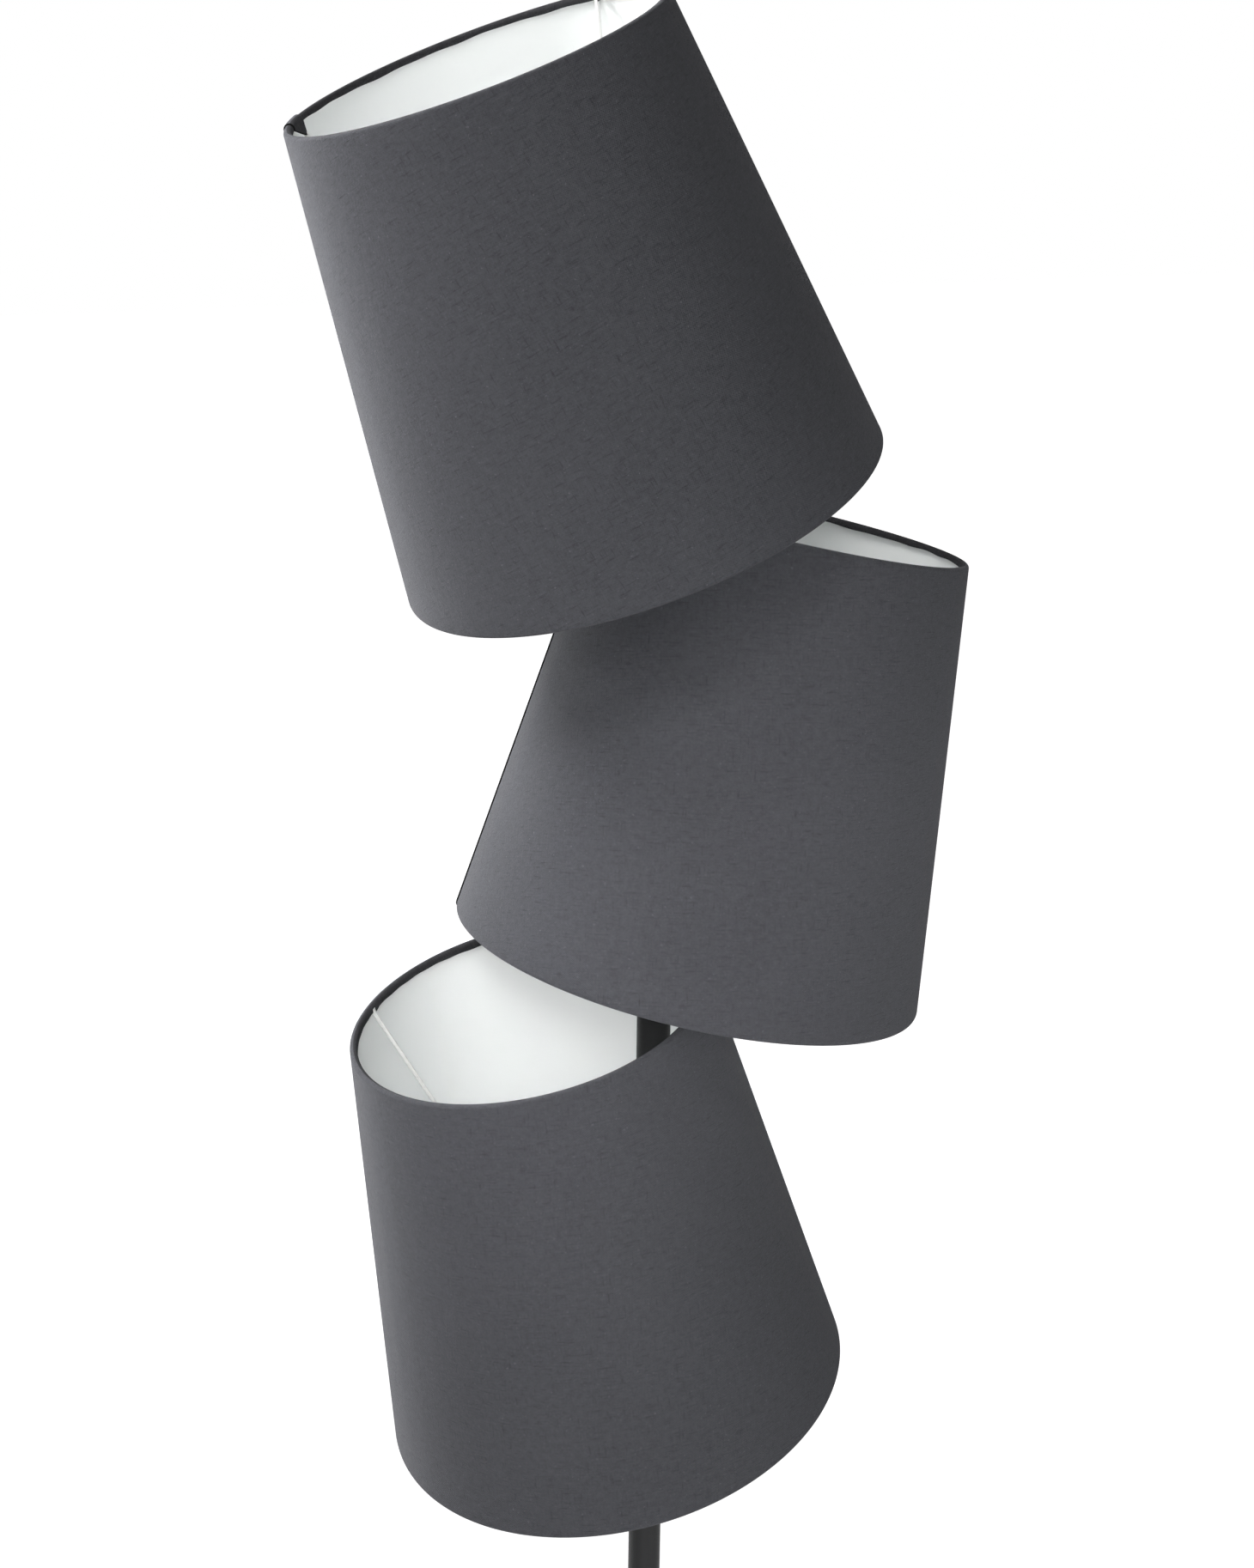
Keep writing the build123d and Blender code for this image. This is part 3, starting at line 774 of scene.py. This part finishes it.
def notched(bm, name):
    """Slits the upper hem at each strut, and lets the corner beside the slit hang a little loose."""
    inside = {v for v, share, bearing in hem_of(bm, name)}
    metres_per_degree = math.radians(high_rim.x)
    for strut_at in (first_strut[name] + turn for turn in (0, 120, 240)):
        drop = random.Random(name + str(strut_at)).uniform(0.3, 1) * mm
        for v, share, bearing in hem_of(bm, name):
            past = ((strut_at - bearing + 180) % 360 - 180) * metres_per_degree - notch / 2
            if -0.1 * mm < past < beside_notch - notch / 2:
                hang = drop * share * (1 - past / (beside_notch - notch / 2))
                v.co += Vector((-v.co.x, -v.co.y, 0)).normalized() * slit_in * hang - Vector((0, 0, hang))
    faces = []
    for face in bm.faces:
        centre = face.calc_center_median()
        bearing = math.degrees(math.atan2(centre.y, centre.x)) - first_strut[name]
        at_strut = abs((bearing + 60) % 120 - 60) * metres_per_degree < notch / 2
        if at_strut and any(v in inside for v in face.verts):
            faces.append(face)
    bmesh.ops.delete(bm, geom=faces, context="FACES")
    return bm


def cornered(bm, name):
    """Lets the inner corner of the lap hang down from the upper rim."""
    for v, share, bearing in hem_of(bm, name):
        along = ((bearing - seam_at[name] + 180) % 360 - 180) / lap_sweep + 1
        hang = loose_corner[name] * share * min(along / corner_at, (1 - along) / (1 - corner_at))
        v.co += Vector((-v.co.x, -v.co.y, 0)).normalized() * corner_in * hang - Vector((0, 0, hang))
    return bm


charcoal = cotton("charcoal_cotton", (0.0306, 0.0313, 0.0355), (0.0985, 0.1, 0.11), 0.14)
# The hem's cotton is darker than the cloth: painted shade on the rolled band inside the rims.
painted_hem_shade = cotton("painted_hem_shade_cotton", (0.016, 0.016, 0.0175), (0.054, 0.0535, 0.0575), 0.03)
# Near-black cut edges of the cloth: painted shade, a dark line where the lap's edge and the hem ends fall in
# shadow.
painted_edge_shade = finish("painted_edge_shade", (0.006, 0.006, 0.006), (0.012, 0.012, 0.012), 900, (0.9, 1.0), 2500,
                  0.1 * mm, {"Specular IOR Level": 0.05})
near = math.degrees(beside_notch / high_rim.x)
for name, place in place_of.items():
    shade = name + "_shade"
    runs = [(120 - 2 * near, 108), (2 * near, 16)] * 3
    cloth = notched(wrapped(name, first_strut[name] + near, runs), name)
    cover = fitted(name + "_cloth", cloth, charcoal, "fabric", shade, name + "_cover", place=place)
    lap = cornered(wrapped(name, seam_at[name] - lap_sweep, [(lap_sweep, 16)], lap_lift), name)
    seam = fitted(name + "_lap_seam", lap, charcoal, "fabric", shade, name + "_cover", place=place)
    for sheet in (cover, seam):
        # The solidified cut edges take the near-black painted shade, and the hem takes the darker painted
        # shade.
        for material in (painted_edge_shade, painted_hem_shade, painted_edge_shade):
            sheet.data.materials.append(material)
        body_of_cloth = sheet.modifiers.new("thickness", "SOLIDIFY")
        body_of_cloth.thickness = 2 * cloth_t if sheet is seam else cloth_t
        body_of_cloth.offset = 0
        body_of_cloth.material_offset_rim = 1

# Studio: a plain pale floor that runs far back, a white surround and soft light from the left.
# The surround and the far floor look white to the camera and in reflections.
# Near the lamp the floor keeps its shadow.
floor_reach = 12
floor_drop = 0.2 * mm
shadow_reach, white_reach = 0.3, 1.6
shadow_glow, white_glow = 0.2, 1
floor_mesh = bpy.data.meshes.new("floor")
paper_sheet = bmesh.new()
bmesh.ops.create_grid(paper_sheet, x_segments=1, y_segments=1, size=floor_reach)
bmesh.ops.translate(paper_sheet, verts=paper_sheet.verts, vec=(0, 0, -floor_drop))
paper_sheet.to_mesh(floor_mesh)
paper_sheet.free()
floor = bpy.data.objects.new("floor", floor_mesh)
bpy.context.scene.collection.objects.link(floor)


def seen(nodes, links):
    """1 for rays from the camera, from mirrors and through glass, and 0 for the light itself."""
    path = nodes.new("ShaderNodeLightPath")
    total = path.outputs["Is Camera Ray"]
    for ray in ("Is Glossy Ray", "Is Transmission Ray"):
        either = nodes.new("ShaderNodeMath")
        either.operation = "MAXIMUM"
        links.new(total, either.inputs[0])
        links.new(path.outputs[ray], either.inputs[1])
        total = either.outputs["Value"]
    return total


paper = bpy.data.materials.new("studio_floor")
paper.use_nodes = True
nodes, links = paper.node_tree.nodes, paper.node_tree.links
nodes.remove(nodes["Principled BSDF"])
matt = nodes.new("ShaderNodeBsdfDiffuse")
matt.inputs["Color"].default_value = (0.62, 0.62, 0.62, 1)
from_lamp = nodes.new("ShaderNodeVectorMath")
from_lamp.operation = "LENGTH"
links.new(nodes.new("ShaderNodeTexCoord").outputs["Object"], from_lamp.inputs[0])
whiter = nodes.new("ShaderNodeMapRange")
whiter.inputs["From Min"].default_value, whiter.inputs["From Max"].default_value = shadow_reach, white_reach
whiter.inputs["To Min"].default_value, whiter.inputs["To Max"].default_value = shadow_glow, white_glow
links.new(from_lamp.outputs["Value"], whiter.inputs["Value"])
strength = nodes.new("ShaderNodeMath")
strength.operation = "MULTIPLY"
links.new(whiter.outputs["Result"], strength.inputs[0])
links.new(seen(nodes, links), strength.inputs[1])
glow = nodes.new("ShaderNodeEmission")
links.new(strength.outputs["Value"], glow.inputs["Strength"])
glow.inputs["Color"].default_value = (1, 1, 1, 1)
both = nodes.new("ShaderNodeAddShader")
links.new(matt.outputs["BSDF"], both.inputs[0])
links.new(glow.outputs["Emission"], both.inputs[1])
links.new(both.outputs["Shader"], nodes["Material Output"].inputs["Surface"])
floor_mesh.materials.append(paper)

view_turn = math.radians(-25)
to_left = Vector((-math.cos(view_turn), -math.sin(view_turn), 0))
to_camera = Vector((math.sin(view_turn), -math.cos(view_turn), 0))
upward = Vector((0, 0, 1))
surround = bpy.data.worlds.new("surround")
surround.use_nodes = True
nodes, links = surround.node_tree.nodes, surround.node_tree.links
from_behind = nodes.new("ShaderNodeVectorMath")
from_behind.operation = "DOT_PRODUCT"
links.new(nodes.new("ShaderNodeTexCoord").outputs["Generated"], from_behind.inputs[0])
from_behind.inputs[1].default_value = -to_camera
soft = nodes.new("ShaderNodeMapRange")
soft.inputs["To Min"].default_value, soft.inputs["To Max"].default_value = 0.1, 0.2
links.new(from_behind.outputs["Value"], soft.inputs["Value"])
level = nodes.new("ShaderNodeMath")
level.operation = "MAXIMUM"
links.new(soft.outputs["Result"], level.inputs[0])
links.new(seen(nodes, links), level.inputs[1])
links.new(level.outputs["Value"], nodes["Background"].inputs["Strength"])
nodes["Background"].inputs["Color"].default_value = (1, 1, 1, 1)
bpy.context.scene.world = surround

lit = Vector((0, 0, 1.2))
upper = Vector((-0.12, -0.03, 1.5))
middle = Vector((0.09, 0, 1.17))
lower = Vector((-0.03, 0, 1.08))
opening = Vector((-0.1, 0.015, 1.03))
softboxes = {
    "key": (to_left * 0.95 + to_camera * 1.7 + upward * 1.25, lit, 1.3, 180, 15.2),
    "front_fill": (to_left * 0.6 + to_camera * 1.8 + upward * 0.4, lit, 1.2, 180, 12.7),
    "side": (to_left * 1.0 - to_camera * 0.2 + upward * 0.95, lit, 0.6, 180, 25.7),
    "rear_side": (to_left * 0.9 - to_camera * 0.7 - upward * 0.15, lit, 0.6, 180, 10),
    "low_front": (to_camera * 1.0 - upward * 0.9, lit, 0.8, 180, 3.3),
    "low_right": (to_camera * 0.7 - to_left * 0.8 - upward * 0.7, lit, 0.6, 180, 4.05),
    "upper_spot": (to_left * 1.2 + to_camera * 0.1 + upward * 0.5, upper, 0.3, 22, 0.22),
    "middle_spot": (to_camera * 1.3 - to_left * 0.8 - upward * 0.05, middle, 0.2, 15, 0.068),
    "lower_spot": (to_left * 0.3 + to_camera * 1.0 + upward * 1.1, lower, 0.3, 25, 0.14),
    "opening_spot": (to_camera * 1.2 + upward * 0.45, opening, 0.25, 15, 0.092),
}
for label, (offset, aim, size, spread, power) in softboxes.items():
    lamp = bpy.data.lights.new(label, "AREA")
    lamp.shape = "SQUARE"
    lamp.size = size
    lamp.spread = math.radians(spread)
    lamp.energy = power
    box = bpy.data.objects.new(label, lamp)
    box.location = lit + offset
    box.rotation_euler = (box.location - aim).to_track_quat("Z", "Y").to_euler()
    box.visible_camera = False
    bpy.context.scene.collection.objects.link(box)

# Camera: it stands level with the upper shade, a little to the left, and looks down on the lamp.
# Only the shades and the pole between them are in its frame.
eye_turn = math.radians(-25.15)
eye_reach = 1.1428
eye_height = 1.5575
aim_turn = math.radians(-24.30)
aim_down = math.radians(15.208)
roll = math.radians(0.815)
photo_height = 1826
focal_pixels = 2699.5
centre_drop_pixels = 143.2
lens = bpy.data.cameras.new("camera")
lens.sensor_fit = "AUTO"
lens.sensor_width = 36
lens.lens = focal_pixels / photo_height * lens.sensor_width
lens.shift_y = -centre_drop_pixels / photo_height
camera = bpy.data.objects.new("camera", lens)
turn = Matrix.Rotation(aim_turn, 4, "Z") @ Matrix.Rotation(math.radians(90) - aim_down, 4, "X")
eye = Vector((eye_reach * math.sin(eye_turn), -eye_reach * math.cos(eye_turn), eye_height))
camera.matrix_world = Matrix.Translation(eye) @ turn @ Matrix.Rotation(roll, 4, "Z")
bpy.context.scene.collection.objects.link(camera)
bpy.context.scene.camera = camera
bpy.context.scene.view_settings.view_transform = "Standard"
